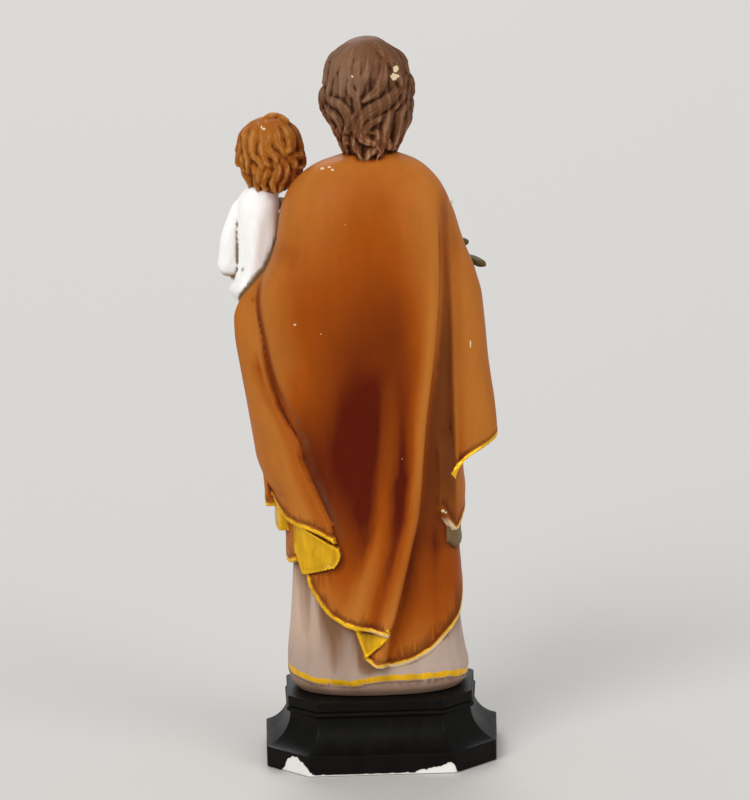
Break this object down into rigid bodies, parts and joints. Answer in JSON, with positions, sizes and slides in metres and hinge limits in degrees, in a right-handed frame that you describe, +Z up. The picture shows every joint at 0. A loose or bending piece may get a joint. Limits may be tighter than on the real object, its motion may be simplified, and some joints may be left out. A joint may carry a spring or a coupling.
{
  "type": "saint statue",
  "caption": "Painted plaster statue of a bearded saint in a gold-edged brown cloak who carries a child and a lily, on a black eight-sided moulded plinth.",
  "frame": {"origin": "middle of the plinth's underside", "axes": "+Z up; the figure faces -Y, its cloaked back is towards +Y and the child is on the +X side"},
  "size_m": [0.1135, 0.0848, 0.3001],
  "materials": {
    "painted_plaster": "satin hand-painted plaster",
    "black_plaster": "semi-gloss black paint on plaster"
  },
  "bodies": {
    "root": {"figure": "painted_plaster", "plinth": "black_plaster"}
  },
  "joints": []
}
